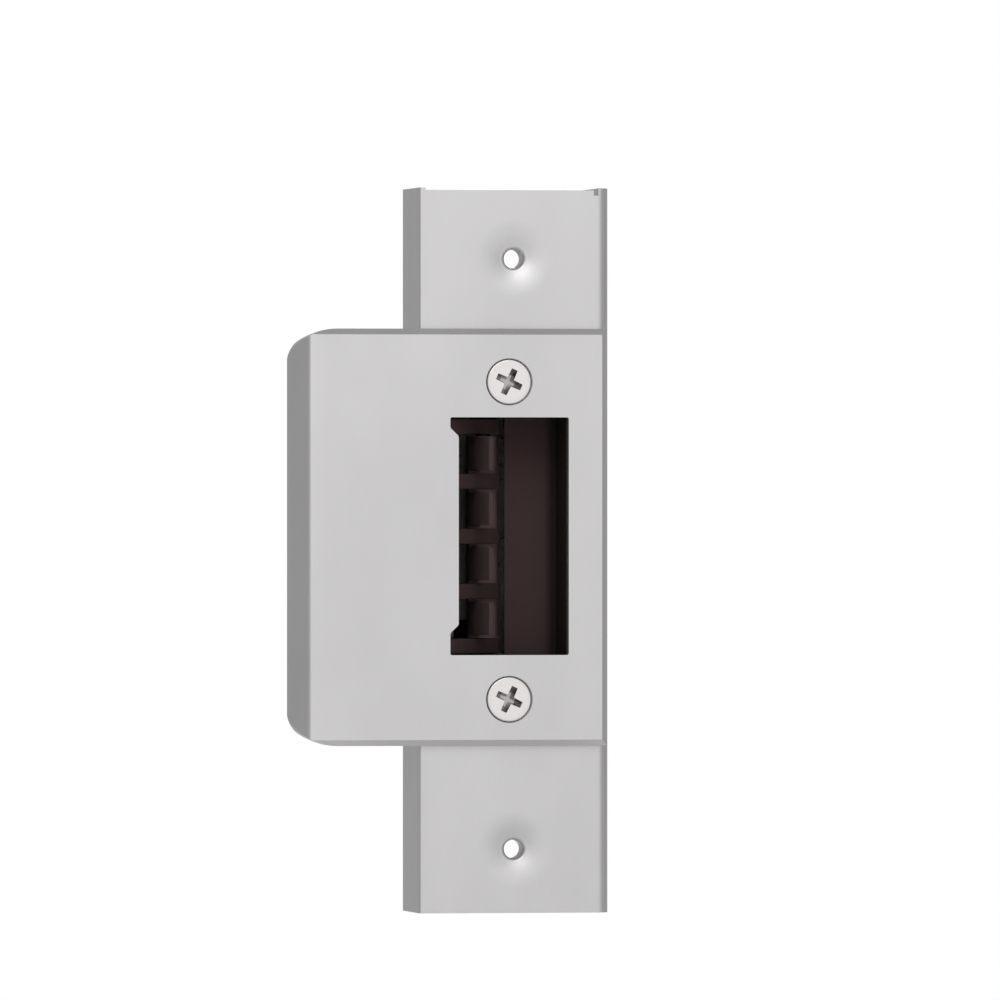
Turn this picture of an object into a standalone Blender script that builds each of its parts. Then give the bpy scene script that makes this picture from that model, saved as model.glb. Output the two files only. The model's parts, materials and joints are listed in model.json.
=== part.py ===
"""Electric door strike with a lipped face plate.

A formed sheet channel carries a thicker lip plate on its front and a cast housing behind it.
The latch pocket opens through all three. Fixed ramp ribs fill the pocket's left side, and the
fingers of a pivoting keeper stand between them. A solenoid below the pocket turns a lever
that blocks the keeper's tail. With the coil dead the keeper is free (fail-safe).

Frame: +X to the right and +Z up as seen from the front, the front faces -Y, and the origin is
the centre of the channel's web on its back face. Sizes below are in millimetres.
"""
import math

import bmesh
import bpy
from mathutils import Matrix, Vector

MM = 0.001
GAP = 0.3
ROUND_STEPS = 24
SMALL_STEPS = 16
CUT = 1.0

# Mounting channel
WEB_HALF_WIDTH = 16.5
WEB_HALF_HEIGHT = 61.9
SHEET = 1.6
LEFT_BEND_RADIUS = 0.8
RIGHT_BEND_RADIUS = 1.7
FLANGE_BACK = 15.0
TAB_HOLE_HEIGHTS = {"upper": 49.8, "lower": -51.0}
TAB_HOLE_RADIUS = 1.75
TAB_HOLE_THROAT = (2.4, -0.9)
TAB_HOLE_BORE_START = -0.3
TAB_COLLAR_RADIUS = 2.9
TAB_COLLAR_BACK = 3.3
TAB_COLLAR_FOOT = 4.6
TAB_INNER_END = 45.0
DIMPLE_RADIUS = 5.4
WEB_TRIM = 0.4
WEB_TRIM_LEFT = -15.4
BEND_RELIEF_X = (13.8, 14.6)
BEND_RELIEF_DEPTH = 1.3
CHANNEL_WINDOW_X = (-12.2, 10.4)
CHANNEL_WINDOW_Z = (-19.2, 24.0)

# Lip plate
PLATE_FRONT = -4.1
PLATE_BACK = -SHEET - GAP
PLATE_LEFT = -35.4
PLATE_RIGHT = 15.6
OVERHANG_START = -17.0
PLATE_BOTTOM = -33.3
PLATE_TOP = 37.8
PLATE_CHAMFER = 1.0
SIDE_CHAMFER = 0.8
LIP_ANGLE = math.radians(55)
LIP_LENGTH = 6.85
LIP_BEND_RADIUS = 1.0
LIP_BEND_BULGE = 0.12
LIP_INNER_RADIUS = 0.3
LIP_EDGE_ROUND = 0.7
LIP_CORNER_START = -30.8
LIP_CORNER_WIDTH = 7.9
LIP_CORNER_HEIGHT = 6.1

# Latch pocket
POCKET_LEFT = -11.5
POCKET_RIGHT = 9.0
POCKET_BOTTOM = -17.85
POCKET_TOP = 22.7
POCKET_MIDDLE = 2.4
TONGUE_EDGE = -10.05
TONGUE_BOTTOM = -12.7
TONGUE_TOP = 19.5
TONGUE_CHAMFER = 1.4

# Pocket liner and ramp block
LINER_LEFT = -11.8
LINER_RIGHT = 10.1
LINER_BACK = 10.8
LINER_BOTTOM = -18.9
LINER_TOP = 23.7
LINER_WALL = 0.8
LINER_FLOOR_LEFT = 0.3
RAMP_FOOT = (-10.4, -1.3)
RAMP_END = (-0.6, 10.0)
RAMP_BACK = 12.0
SPINE_RIGHT = -9.0
SPINE_BACK = 14.0

# Face screws
FACE_SCREW_X = -1.3
FACE_SCREW_HEIGHTS = {"upper": 28.75, "lower": -25.4}
FACE_SCREW_HEAD = 4.0
FACE_SCREW_SHANK = 2.0
FACE_SCREW_END = 3.4
FACE_SCREW_GAP = 0.35
RECESS_ARM = 2.2
RECESS_HALF_WIDTH = 0.42
RECESS_DEPTH = 1.3
RECESS_TURN = math.radians(-25)

# Housing and rear cover
CASE_HALF_WIDTH = 13.3
CASE_WALL = 1.2
CASE_FRONT = 0.3
CASE_BACK = 28.2
CASE_BOTTOM = -43.0
CASE_TOP = 42.2
LOWER_PARTITION = (-20.4, -19.2)
UPPER_PARTITION = (24.0, 25.2)
COVER_THICKNESS = 1.4
CORNER_BOSS_X = 10.2
CORNER_BOSS_HEIGHTS = {"upper": 38.8, "lower": -39.6}
CORNER_BOSS_RADIUS = 2.3
CORNER_BOSS_BACK = 27.9
CASE_END_WALL = 1.4
FACE_BOSS_RADIUS = 3.4
BOARD_POST_RADIUS = 1.6
BOARD_POST_HOLE = 1.0
SCREW_HOLE_RADIUS = 1.35
HOLE_STEPS = 12
CASE_WINDOW_RIGHT = 10.4
LEVER_WAY_FRONT = 20.0
LEAD_WAY_X = (7.5, 10.5)
LEAD_WAY_Y = (24.0, 27.0)
KEEPER_STOP_RIGHT = -6.4
KEEPER_STOP_Y = (22.6, 25.4)
KEEPER_STOP_Z = (-17.6, -11.8)
COVER_WINDOW_X = (-5.8, 5.8)
COVER_WINDOW_Z = (29.2, 38.8)

# Keeper
KEEPER_PIVOT = (-2.5, 15.0)
HUB_RADIUS = 2.6
PIN_RADIUS = 1.25
FINGER_FACE = -3.5
FINGER_BACK = -5.5
FINGER_TIP = -1.2
FINGER_HEIGHT = 5.6
RIB_HEIGHT = 2.6
RIB_GAP = 0.6
FINGER_COUNT = 4
KEEPER_BOTTOM = -18.3
KEEPER_TOP = 19.6
TAIL_HALF_WIDTH = 0.8
TAIL_BOTTOM = -17.2
TAIL_TOP = -12.2
TAIL_END = 26.0
KEEPER_SPRING_RADIUS = 2.1
KEEPER_SPRING_Z = (20.1, 23.2)
KEEPER_SPRING_TURNS = 4.5
KEEPER_SPRING_LEG = 4.0
KEEPER_SPRING_WIRE = 0.3
BUMPER_X = (-6.1, -3.6)
BUMPER_Y = (22.9, 25.1)
BUMPER_Z = (-17.3, -12.1)

# Locking lever and solenoid
LEVER_PIVOT = (18.0, -23.0)
LEVER_MIDDLE = -0.65
LEVER_THICKNESS = 1.5
LEVER_SWING = math.radians(18)
LEVER_PIN_RADIUS = 1.0
LEVER_HUB_RADIUS = 1.9
LEVER_ARM_END = -8.1
LEVER_SLOT_START = -7.2
LEVER_NOSE_X = (5.4, 7.4)
LEVER_NOSE_TOP = 7.5
LEVER_ARM_HALF = 1.3
BORE_GAP = 0.35
SOLENOID_Y = 10.5
LINK_PIN_RADIUS = 0.8
PLUNGER_RADIUS = 2.7
PLUNGER_TOP = -20.9
PLUNGER_BOTTOM = -33.4
SPRING_BORE_RADIUS = 1.9
SPRING_BORE_TOP = -28.5
PLUNGER_SPRING_RADIUS = 1.3
PLUNGER_SPRING_Z = (-35.9, -29.0)
PLUNGER_SPRING_WIRE = 0.22
SOLENOID_SCREW_OFFSET = 4.3
BOBBIN_BORE = 3.1
BOBBIN_CORE = 3.6
BOBBIN_FLANGE_RADIUS = 5.6
BOBBIN_FLANGE = 0.8
COIL_INNER = 3.9
COIL_OUTER = 5.4
POLE_STEM = 1.5
POLE_TOP = -36.4
FRAME_HALF_WIDTH = 6.0
FRAME_SHEET = 1.5
FRAME_FRONT = 3.9
FRAME_BACK = 17.9
FRAME_BOTTOM = -41.3
FRAME_TOP = -26.5

# Circuit board and terminals
BOARD_FRONT = 18.0
BOARD_THICKNESS = 1.6
BOARD_HALF_WIDTH = 7.5
BOARD_BOTTOM = 26.0
BOARD_TOP = 39.5
BOARD_SCREW_X = 5.9
BOARD_SCREW_Z = 28.0
TERMINAL_HALF_WIDTH = 5.0
TERMINAL_BOTTOM = 30.0
TERMINAL_TOP = 38.0
TERMINAL_BACK = 27.5
TERMINAL_SCREW_X = 2.5
TERMINAL_SCREW_Z = 32.2
TERMINAL_WELL_RADIUS = 1.7
TERMINAL_WELL_FLOOR = 22.5
TERMINAL_ENTRY_HALF_WIDTH = 1.4
TERMINAL_ENTRY_Z = (34.8, 36.8)
DIODE_CENTRE = (16.6, 33.0)
DIODE_RADIUS = 1.1
DIODE_HALF_LENGTH = 3.2

FINISHES = {
    "satin_steel": ((0.60, 0.60, 0.60), 1.0, 0.38),
    "screw_steel": ((0.74, 0.72, 0.69), 1.0, 0.25),
    "dark_bronze": ((0.045, 0.033, 0.030), 0.3, 0.55),
    "zinc_casting": ((0.45, 0.45, 0.46), 1.0, 0.50),
    "plated_steel": ((0.62, 0.60, 0.55), 1.0, 0.35),
    "spring_steel": ((0.40, 0.40, 0.42), 1.0, 0.30),
    "rubber_black": ((0.02, 0.02, 0.02), 0.0, 0.80),
    "nylon_white": ((0.75, 0.73, 0.66), 0.0, 0.50),
    "copper_wire": ((0.70, 0.30, 0.14), 1.0, 0.35),
    "board_green": ((0.03, 0.16, 0.07), 0.0, 0.45),
    "terminal_green": ((0.05, 0.30, 0.12), 0.0, 0.45),
    "brass": ((0.72, 0.53, 0.22), 1.0, 0.30),
    "diode_black": ((0.03, 0.03, 0.03), 0.0, 0.40),
}


def clear_scene():
    for old in list(bpy.data.objects):
        bpy.data.objects.remove(old, do_unlink=True)


def finish_material(finish, piece_name):
    colour, metallic, roughness = FINISHES[finish]
    material = bpy.data.materials.new(piece_name + "_" + finish)
    material.use_nodes = True
    shader = material.node_tree.nodes["Principled BSDF"]
    shader.inputs["Base Color"].default_value = (*colour, 1.0)
    shader.inputs["Metallic"].default_value = metallic
    shader.inputs["Roughness"].default_value = roughness
    return material


def place(axis, first, second, along):
    """A point from its two cross coordinates and its coordinate along the axis."""
    if axis == "X":
        return Vector((along, first, second)) * MM
    if axis == "Y":
        return Vector((first, along, second)) * MM
    return Vector((first, second, along)) * MM


def add_object(name, bm, finish):
    """Make an object from a bmesh. A piece without a finish is a cutter or an addition."""
    bmesh.ops.recalc_face_normals(bm, faces=bm.faces[:])
    mesh = bpy.data.meshes.new(name)
    bm.to_mesh(mesh)
    bm.free()
    mesh.shade_smooth()
    mesh.set_sharp_from_angle(angle=math.radians(35))
    piece = bpy.data.objects.new(name, mesh)
    bpy.context.collection.objects.link(piece)
    if finish is None:
        piece.hide_render = True
        piece.display_type = "WIRE"
    else:
        mesh.materials.append(finish_material(finish, name))
    return piece


def prism(name, axis, outline, low, high, finish=None):
    """Extrude a closed outline along an axis."""
    bm = bmesh.new()
    corners = [bm.verts.new(place(axis, a, b, low)) for a, b in outline]
    face = bm.faces.new(corners)
    extruded = bmesh.ops.extrude_face_region(bm, geom=[face])
    moved = [item for item in extruded["geom"] if isinstance(item, bmesh.types.BMVert)]
    bmesh.ops.translate(bm, verts=moved, vec=place(axis, 0, 0, high - low))
    return add_object(name, bm, finish)


def box(name, x_range, y_range, z_range, finish=None):
    outline = [
        (x_range[0], y_range[0]),
        (x_range[1], y_range[0]),
        (x_range[1], y_range[1]),
        (x_range[0], y_range[1]),
    ]
    return prism(name, "Z", outline, z_range[0], z_range[1], finish)


def turned(name, axis, centre, profile, finish=None, steps=ROUND_STEPS):
    """Spin a profile of (radius, height) points round an axis. A profile off the axis is a ring."""
    bm = bmesh.new()
    points = [bm.verts.new(place(axis, centre[0] + r, centre[1], h)) for r, h in profile]
    edges = [bm.edges.new(pair) for pair in zip(points, points[1:])]
    if profile[0][0] > 0:
        edges.append(bm.edges.new((points[-1], points[0])))
    bmesh.ops.spin(
        bm,
        geom=points + edges,
        cent=place(axis, centre[0], centre[1], 0),
        axis=place(axis, 0, 0, 1).normalized(),
        angle=math.tau,
        steps=steps,
        use_duplicate=False,
    )
    bmesh.ops.remove_doubles(bm, verts=bm.verts[:], dist=1e-6)
    return add_object(name, bm, finish)


def cylinder(name, axis, centre, radius, low, high, finish=None, steps=ROUND_STEPS):
    profile = [(0, low), (radius, low), (radius, high), (0, high)]
    return turned(name, axis, centre, profile, finish, steps)


def ring(name, axis, centre, inner, outer, low, high, finish=None, steps=ROUND_STEPS):
    profile = [(inner, low), (outer, low), (outer, high), (inner, high)]
    return turned(name, axis, centre, profile, finish, steps)


def arc(centre, radius_x, radius_y, start, end, steps):
    """Points along an arc or a stretch of an ellipse, from one angle to another, in degrees."""
    points = []
    for step in range(steps + 1):
        angle = math.radians(start + (end - start) * step / steps)
        x = centre[0] + radius_x * math.cos(angle)
        y = centre[1] + radius_y * math.sin(angle)
        points.append((x, y))
    return points


def combine(piece, other, operation):
    modifier = piece.modifiers.new(other.name, "BOOLEAN")
    modifier.operation = operation
    modifier.solver = "EXACT"
    modifier.object = other


def cut(piece, *cutters):
    for cutter in cutters:
        combine(piece, cutter, "DIFFERENCE")


def join(piece, *additions):
    for addition in additions:
        combine(piece, addition, "UNION")


def set_origin(piece, point):
    """Move an object's origin to a point in millimetres and leave its shape where it is."""
    origin = Vector(point) * MM
    piece.data.transform(Matrix.Translation(-origin))
    piece.location = origin


def turn(point, angle):
    """Turn a 2-D point about zero."""
    x = point[0] * math.cos(angle) - point[1] * math.sin(angle)
    y = point[0] * math.sin(angle) + point[1] * math.cos(angle)
    return (x, y)


def rib_levels():
    """The low and high edge of each fixed rib, from the lowest up."""
    pitch = RIB_HEIGHT + FINGER_HEIGHT + 2 * RIB_GAP
    lowest = POCKET_MIDDLE - (FINGER_COUNT * pitch + RIB_HEIGHT) / 2
    return [(lowest + n * pitch, lowest + n * pitch + RIB_HEIGHT) for n in range(FINGER_COUNT + 1)]


def channel_section():
    """The channel's U-shaped section, with rounded outer bends."""
    half = WEB_HALF_WIDTH
    inner = half - SHEET
    left = LEFT_BEND_RADIUS
    right = RIGHT_BEND_RADIUS
    outline = [(-inner, 0), (-inner, FLANGE_BACK), (-half, FLANGE_BACK)]
    outline += arc((-half + left, -SHEET + left), left, left, 180, 270, 5)
    outline += arc((half - right, -SHEET + right), right, right, 270, 360, 5)
    outline += [(half, FLANGE_BACK), (inner, FLANGE_BACK), (inner, 0)]
    return outline


def trim_outline():
    """What is cut from the web's top edge: a thin strip with a bend relief at its right."""
    edge = WEB_HALF_HEIGHT - WEB_TRIM
    relief_floor = WEB_HALF_HEIGHT - BEND_RELIEF_DEPTH
    above = WEB_HALF_HEIGHT + CUT
    return [
        (WEB_TRIM_LEFT, edge),
        (BEND_RELIEF_X[0], edge),
        (BEND_RELIEF_X[0], relief_floor),
        (BEND_RELIEF_X[1], relief_floor),
        (BEND_RELIEF_X[1], above),
        (WEB_TRIM_LEFT, above),
    ]


def make_mounting_channel():
    levels = (-WEB_HALF_HEIGHT, -TAB_INNER_END, TAB_INNER_END, WEB_HALF_HEIGHT)
    sections = [(channel_section(), z) for z in levels]
    channel = loft("mounting_channel", sections, "satin_steel")
    for side, z in TAB_HOLE_HEIGHTS.items():
        collar_profile = [
            (0, -SHEET / 2),
            (TAB_COLLAR_FOOT, -SHEET / 2),
            (TAB_COLLAR_FOOT, 0.1),
            (TAB_COLLAR_RADIUS, 1.0),
            (TAB_COLLAR_RADIUS, TAB_COLLAR_BACK),
            (0, TAB_COLLAR_BACK),
        ]
        funnel_profile = [
            (0, -SHEET - CUT),
            (DIMPLE_RADIUS, -SHEET - CUT),
            (DIMPLE_RADIUS, -SHEET),
            TAB_HOLE_THROAT,
            (TAB_HOLE_RADIUS, TAB_HOLE_BORE_START),
            (TAB_HOLE_RADIUS, TAB_COLLAR_BACK + CUT),
            (0, TAB_COLLAR_BACK + CUT),
        ]
        collar = turned("add_dimple_" + side, "Y", (0, z), collar_profile)
        funnel = turned("cut_dimple_" + side, "Y", (0, z), funnel_profile)
        join(channel, collar)
        cut(channel, funnel)
    sheet_range = (-SHEET - CUT, CUT)
    window = box("cut_channel_pocket", CHANNEL_WINDOW_X, sheet_range, CHANNEL_WINDOW_Z)
    trim = prism("cut_web_trim", "Y", trim_outline(), *sheet_range)
    cut(channel, window, trim)
    for side, z in FACE_SCREW_HEIGHTS.items():
        hole = cylinder(
            "cut_channel_screw_" + side,
            "Y",
            (FACE_SCREW_X, z),
            FACE_SCREW_SHANK + GAP,
            *sheet_range,
        )
        cut(channel, hole)


def lip_section(inset):
    """The lip plate's section. Inset draws its front side back to form an end chamfer."""
    front = PLATE_FRONT + inset
    bend_start = PLATE_LEFT + LIP_BEND_RADIUS * math.tan(LIP_ANGLE / 2)
    thickness = PLATE_BACK - PLATE_FRONT
    along = Vector((-math.cos(LIP_ANGLE), math.sin(LIP_ANGLE)))
    inward = Vector((math.sin(LIP_ANGLE), math.cos(LIP_ANGLE)))
    corner = Vector((PLATE_LEFT, PLATE_FRONT))
    outer_start = corner + along * LIP_BEND_RADIUS * math.tan(LIP_ANGLE / 2) + inward * inset
    outer_end = corner + along * LIP_LENGTH + inward * inset
    inner_end = corner + along * LIP_LENGTH + inward * thickness
    edge_depth = max(LIP_EDGE_ROUND - inset, 0.05)
    middle_x = (bend_start + outer_start.x) / 2 - LIP_BEND_BULGE
    middle_y = (front + outer_start.y) / 2 - LIP_BEND_BULGE
    inner_corner_x = PLATE_LEFT + thickness * math.tan(LIP_ANGLE / 2)
    inner_corner = Vector((inner_corner_x, PLATE_BACK))
    outline = [
        (PLATE_RIGHT, PLATE_BACK),
        (PLATE_RIGHT, max(PLATE_FRONT + SIDE_CHAMFER, front)),
        (PLATE_RIGHT - SIDE_CHAMFER, front),
        (bend_start, front),
        (middle_x, middle_y),
        tuple(outer_start),
        tuple(outer_end - along * LIP_EDGE_ROUND),
        tuple(outer_end + inward * edge_depth),
        tuple(inner_end),
        tuple(inner_corner + along * LIP_INNER_RADIUS),
        (inner_corner_x + LIP_INNER_RADIUS, PLATE_BACK),
        (OVERHANG_START, PLATE_BACK),
    ]
    return outline


def loft(name, sections, finish):
    """Skin a stack of equal outlines, each given with its height, and close the two ends."""
    bm = bmesh.new()
    loops = []
    for outline, z in sections:
        loops.append([bm.verts.new(place("Z", x, y, z)) for x, y in outline])
    count = len(loops[0])
    for lower, upper in zip(loops, loops[1:]):
        for n in range(count):
            following = (n + 1) % count
            bm.faces.new((lower[n], lower[following], upper[following], upper[n]))
    bm.faces.new(loops[0])
    bm.faces.new(loops[-1])
    return add_object(name, bm, finish)


def pocket_outline():
    """The latch opening in the lip plate: a rectangle with a tongue at its left edge."""
    return [
        (POCKET_RIGHT, POCKET_BOTTOM),
        (POCKET_RIGHT, POCKET_TOP),
        (POCKET_LEFT, POCKET_TOP),
        (POCKET_LEFT, TONGUE_TOP + TONGUE_CHAMFER),
        (TONGUE_EDGE, TONGUE_TOP),
        (TONGUE_EDGE, TONGUE_BOTTOM),
        (POCKET_LEFT, TONGUE_BOTTOM - TONGUE_CHAMFER),
        (POCKET_LEFT, POCKET_BOTTOM),
    ]


def lip_corner_cutter(side):
    """A cutter that rounds one corner of the lip, as seen from the front."""
    sign = 1 if side == "upper" else -1
    edge = PLATE_TOP if side == "upper" else PLATE_BOTTOM
    centre = (LIP_CORNER_START, edge - sign * LIP_CORNER_HEIGHT)
    outline = arc(centre, LIP_CORNER_WIDTH, sign * LIP_CORNER_HEIGHT, 90, 180, 10)
    outline += [
        (LIP_CORNER_START - LIP_CORNER_WIDTH - 5, centre[1]),
        (LIP_CORNER_START - LIP_CORNER_WIDTH - 5, edge + sign * 3),
        (LIP_CORNER_START, edge + sign * 3),
    ]
    return prism("cut_lip_corner_" + side, "Y", outline, PLATE_FRONT - 2, 8)


def make_lip_plate():
    full = lip_section(0)
    drawn_back = lip_section(PLATE_CHAMFER)
    sections = [
        (drawn_back, PLATE_BOTTOM),
        (full, PLATE_BOTTOM + PLATE_CHAMFER),
        (full, PLATE_TOP - PLATE_CHAMFER),
        (drawn_back, PLATE_TOP),
    ]
    plate = loft("lip_plate", sections, "satin_steel")
    pocket = prism("cut_plate_pocket", "Y", pocket_outline(), PLATE_FRONT - CUT, PLATE_BACK + CUT)
    cut(plate, lip_corner_cutter("upper"), lip_corner_cutter("lower"), pocket)
    for side, z in FACE_SCREW_HEIGHTS.items():
        head = FACE_SCREW_HEAD + FACE_SCREW_GAP
        shank = FACE_SCREW_SHANK + FACE_SCREW_GAP
        profile = [
            (0, PLATE_FRONT - CUT),
            (head, PLATE_FRONT - CUT),
            (head, PLATE_FRONT),
            (shank, PLATE_FRONT + head - shank),
            (shank, PLATE_BACK + CUT),
            (0, PLATE_BACK + CUT),
        ]
        cut(plate, turned("cut_countersink_" + side, "Y", (FACE_SCREW_X, z), profile))


def cross_outline(centre, arm, half_width, angle):
    """A plus-shaped outline, turned by an angle."""
    quarter = [(half_width, half_width), (half_width, arm), (-half_width, arm)]
    points = []
    for n in range(4):
        for point in quarter:
            x, z = turn(point, angle + n * math.pi / 2)
            points.append((centre[0] + x, centre[1] + z))
    return points


def make_face_screws():
    for side, z in FACE_SCREW_HEIGHTS.items():
        centre = (FACE_SCREW_X, z)
        top = PLATE_FRONT + 0.05
        cone_end = top + FACE_SCREW_HEAD - FACE_SCREW_SHANK
        profile = [
            (0, top),
            (FACE_SCREW_HEAD, top + 0.05),
            (FACE_SCREW_HEAD - 0.1, top + 0.25),
            (FACE_SCREW_SHANK, cone_end),
            (FACE_SCREW_SHANK, FACE_SCREW_END - 0.5),
            (FACE_SCREW_SHANK - 0.5, FACE_SCREW_END),
            (0, FACE_SCREW_END),
        ]
        screw = turned("face_screw_" + side, "Y", centre, profile, "screw_steel")
        outline = cross_outline(centre, RECESS_ARM, RECESS_HALF_WIDTH, RECESS_TURN)
        recess = prism("cut_face_recess_" + side, "Y", outline, top - CUT, top + RECESS_DEPTH)
        cut(screw, recess)


def make_housing():
    inner = CASE_HALF_WIDTH - CASE_WALL
    floor = CASE_FRONT + CASE_WALL
    side_range = (-inner, inner)
    depth_range = (floor, CASE_BACK + CUT)
    case = box(
        "housing",
        (-CASE_HALF_WIDTH, CASE_HALF_WIDTH),
        (CASE_FRONT, CASE_BACK),
        (CASE_BOTTOM, CASE_TOP),
        "zinc_casting",
    )
    chambers = {
        "lower": (CASE_BOTTOM + CASE_END_WALL, LOWER_PARTITION[0]),
        "middle": (LOWER_PARTITION[1], UPPER_PARTITION[0]),
        "upper": (UPPER_PARTITION[1], CASE_TOP - CASE_END_WALL),
    }
    for name, height in chambers.items():
        cut(case, box("cut_chamber_" + name, side_range, depth_range, height))
    lever_way_x = (-inner + 0.5, inner - 0.5)
    lever_way_y = (LEVER_WAY_FRONT, CASE_BACK + CUT)
    lever_way_z = (LOWER_PARTITION[0] - CUT, LOWER_PARTITION[1] + CUT)
    cut(case, box("cut_lever_way", lever_way_x, lever_way_y, lever_way_z))
    lead_way_z = (UPPER_PARTITION[0] - CUT, UPPER_PARTITION[1] + CUT)
    cut(case, box("cut_lead_way", LEAD_WAY_X, LEAD_WAY_Y, lead_way_z))
    for side, z in FACE_SCREW_HEIGHTS.items():
        centre = (FACE_SCREW_X, z)
        boss_range = (floor - CASE_WALL / 2, FACE_SCREW_END)
        join(case, cylinder("add_face_boss_" + side, "Y", centre, FACE_BOSS_RADIUS, *boss_range))
    for x in (-BOARD_SCREW_X, BOARD_SCREW_X):
        centre = (x, BOARD_SCREW_Z)
        post_range = (floor - CASE_WALL / 2, BOARD_FRONT - GAP)
        join(case, cylinder("add_board_post", "Y", centre, BOARD_POST_RADIUS, *post_range))
    for x, z in corner_bosses().values():
        boss_range = (floor - CASE_WALL / 2, CORNER_BOSS_BACK)
        join(case, cylinder("add_corner_boss", "Y", (x, z), CORNER_BOSS_RADIUS, *boss_range))
    stop_x = (-inner - CASE_WALL / 2, KEEPER_STOP_RIGHT)
    join(case, box("add_keeper_stop", stop_x, KEEPER_STOP_Y, KEEPER_STOP_Z))
    opening_x = (-inner + 0.02, CASE_WINDOW_RIGHT)
    opening_z = (LOWER_PARTITION[1] + 0.02, UPPER_PARTITION[0] - 0.02)
    cut(case, box("cut_case_pocket", opening_x, (-1, floor + 0.4), opening_z))
    for side, z in FACE_SCREW_HEIGHTS.items():
        centre = (FACE_SCREW_X, z)
        hole_radius = FACE_SCREW_SHANK + GAP
        cut(case, cylinder("cut_face_boss_" + side, "Y", centre, hole_radius, -1, 5))
    for x in (-BOARD_SCREW_X, BOARD_SCREW_X):
        centre = (x, BOARD_SCREW_Z)
        hole_range = (12, BOARD_FRONT + CUT)
        hole = cylinder(
            "cut_board_post", "Y", centre, BOARD_POST_HOLE, *hole_range, None, HOLE_STEPS
        )
        cut(case, hole)
    for centre in corner_bosses().values():
        hole_range = (18, CASE_BACK + CUT)
        hole = cylinder(
            "cut_corner_boss", "Y", centre, SCREW_HOLE_RADIUS, *hole_range, None, HOLE_STEPS
        )
        cut(case, hole)
    pin_hole = LEVER_PIN_RADIUS + BORE_GAP
    cut(case, cylinder("cut_lever_pin", "X", LEVER_PIVOT, pin_hole, -15, 15, None, SMALL_STEPS))
    keeper_hole = PIN_RADIUS + BORE_GAP
    for name, level in (("lower", LOWER_PARTITION), ("upper", UPPER_PARTITION)):
        low, high = level[0] - 0.5, level[1] + 0.5
        cut(case, cylinder("cut_keeper_pin_" + name, "Z", KEEPER_PIVOT, keeper_hole, low, high))
    base_range = (CASE_BOTTOM - CUT, CASE_BOTTOM + CASE_END_WALL + CUT)
    for x in solenoid_screw_places().values():
        centre = (x, SOLENOID_Y)
        hole = cylinder(
            "cut_case_base", "Z", centre, SCREW_HOLE_RADIUS, *base_range, None, HOLE_STEPS
        )
        cut(case, hole)


def corner_bosses():
    """Each rear cover screw's name and its X and Z."""
    places = {}
    for level, z in CORNER_BOSS_HEIGHTS.items():
        places[level + "_left"] = (-CORNER_BOSS_X, z)
        places[level + "_right"] = (CORNER_BOSS_X, z)
    return places


def solenoid_screw_places():
    """Each solenoid screw's side and its X."""
    left = LEVER_MIDDLE - SOLENOID_SCREW_OFFSET
    right = LEVER_MIDDLE + SOLENOID_SCREW_OFFSET
    return {"left": left, "right": right}


def make_rear_cover():
    front = CASE_BACK + GAP
    back = front + COVER_THICKNESS
    width = (-CASE_HALF_WIDTH, CASE_HALF_WIDTH)
    cover = box("rear_cover", width, (front, back), (CASE_BOTTOM, CASE_TOP), "plated_steel")
    cover_range = (front - CUT, back + CUT)
    window = box("cut_cover_window", COVER_WINDOW_X, cover_range, COVER_WINDOW_Z)
    cut(cover, window)
    for name, centre in corner_bosses().items():
        hole = cylinder("cut_cover_" + name, "Y", centre, 1.4, *cover_range, None, HOLE_STEPS)
        cut(cover, hole)
        make_pan_screw("cover_screw_" + name, "Y", centre, back + GAP, 1, 2.2, 1.05, 9.0)


def make_pan_screw(name, axis, centre, seat, outward, head, shank, length):
    """A pan-head screw with a cross recess. Its head lies outward of the seat."""
    profile = [
        (0, seat + outward * 1.4),
        (head * 0.6, seat + outward * 1.35),
        (head, seat + outward * 0.7),
        (head, seat),
        (shank, seat),
        (shank, seat - outward * (length - 0.4)),
        (shank * 0.6, seat - outward * length),
        (0, seat - outward * length),
    ]
    screw = turned(name, axis, centre, profile, "plated_steel", SMALL_STEPS)
    outline = cross_outline(centre, head * 0.55, head * 0.13, math.radians(20))
    ends = sorted((seat + outward * 0.6, seat + outward * 3))
    cut(screw, prism("cut_recess_" + name, axis, outline, *ends))


def make_pocket_liner():
    liner_x = (LINER_LEFT, LINER_RIGHT)
    liner_y = (-SHEET, LINER_BACK)
    liner = box("pocket_liner", liner_x, liner_y, (LINER_BOTTOM, LINER_TOP), "dark_bronze")
    hollow_x = (LINER_LEFT - CUT, LINER_RIGHT - LINER_WALL)
    hollow_y = (-SHEET - CUT, LINER_BACK - LINER_WALL)
    hollow_z = (LINER_BOTTOM + LINER_WALL, LINER_TOP - LINER_WALL)
    hollow = box("cut_liner_hollow", hollow_x, hollow_y, hollow_z)
    keeper_x = (LINER_LEFT - CUT, LINER_FLOOR_LEFT)
    keeper_y = (LINER_BACK - LINER_WALL - CUT, LINER_BACK + CUT)
    cut(liner, hollow, box("cut_liner_keeper_side", keeper_x, keeper_y, hollow_z))


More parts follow.
